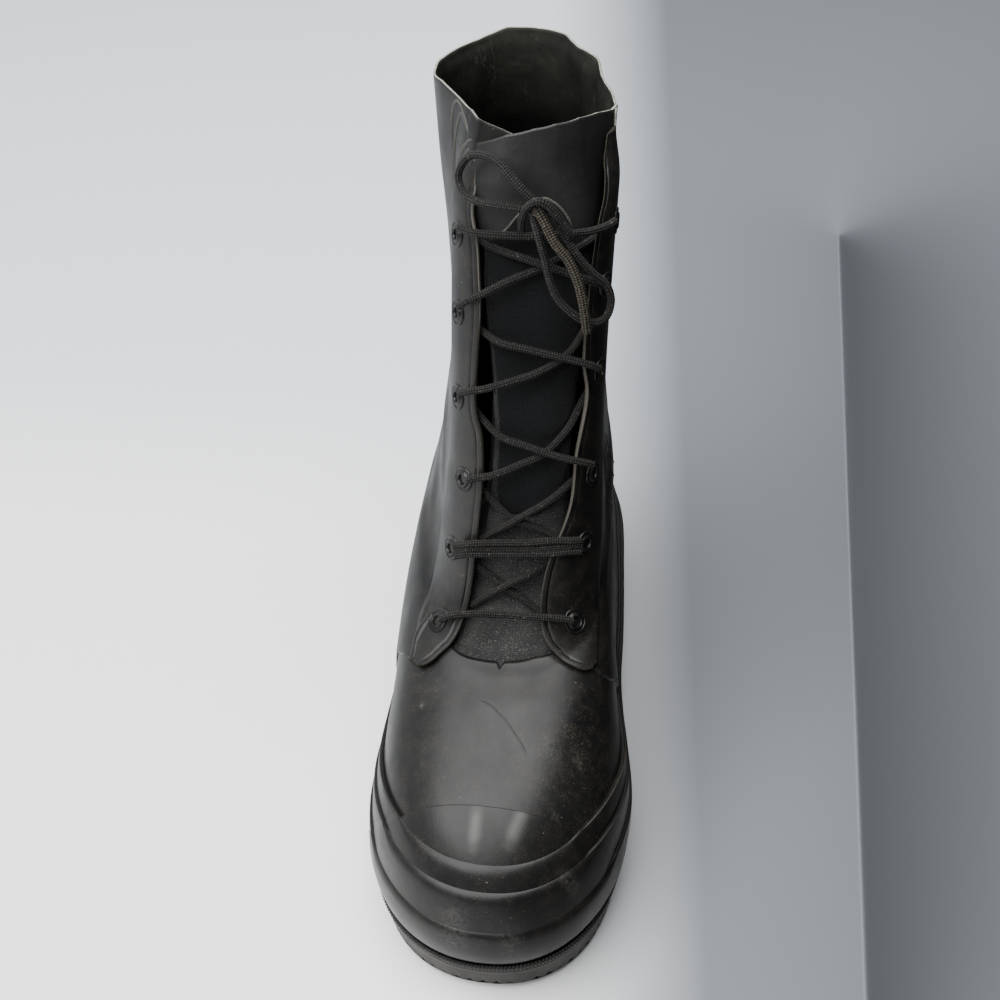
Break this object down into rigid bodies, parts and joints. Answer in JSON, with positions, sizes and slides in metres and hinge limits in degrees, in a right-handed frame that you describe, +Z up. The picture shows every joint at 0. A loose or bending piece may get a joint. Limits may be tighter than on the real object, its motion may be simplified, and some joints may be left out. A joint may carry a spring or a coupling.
{
  "type": "insulated rubber boot",
  "caption": "Tall insulated black rubber cold-weather boot for the right foot, laced through six eyelet pairs and tied in a bow, standing empty.",
  "frame": {"origin": "floor under the heel, at the front of the heel's flat spot, below the shaft", "axes": "+Z up, -Y from the heel to the toe, +X to the foot's inner (medial) side"},
  "size_m": [0.1193, 0.3256, 0.3085],
  "materials": {
    "shell_rubber": "satin",
    "ply_rubber": "satin, scuffed",
    "sole_rubber": "matte",
    "eyelet_rubber": "satin",
    "felt": "matte",
    "knit": "matte",
    "lace": "matte",
    "worn_lace": "matte, faded"
  },
  "bodies": {
    "root": {"bumper_middle": "ply_rubber", "bumper_upper": "ply_rubber", "eyelet_lateral_1": "eyelet_rubber", "eyelet_lateral_2": "eyelet_rubber", "eyelet_lateral_3": "eyelet_rubber", "eyelet_lateral_4": "eyelet_rubber", "eyelet_lateral_5": "eyelet_rubber", "eyelet_lateral_6": "eyelet_rubber", "eyelet_medial_1": "eyelet_rubber", "eyelet_medial_2": "eyelet_rubber", "eyelet_medial_3": "eyelet_rubber", "eyelet_medial_4": "eyelet_rubber", "eyelet_medial_5": "eyelet_rubber", "eyelet_medial_6": "eyelet_rubber", "facing_lateral": "shell_rubber", "facing_medial": "shell_rubber", "foxing": "ply_rubber", "gusset_lateral": "shell_rubber", "insole": "felt", "lace_bar_1": "lace", "lace_bar_2_lower": "lace", "lace_bar_2_upper": "lace", "lace_bar_6": "lace", "lace_cross_1_2": "lace", "lace_cross_2_3": "lace", "lace_cross_3_4": "lace", "lace_cross_4_5": "lace", "lace_cross_5_6": "lace", "lace_end": "worn_lace", "lace_knot": "lace", "lace_loop_lateral": "lace", "lace_loop_medial": "lace", "outsole": "sole_rubber", "toe_cap": "ply_rubber", "tongue": "knit", "upper": "shell_rubber"}
  },
  "joints": []
}
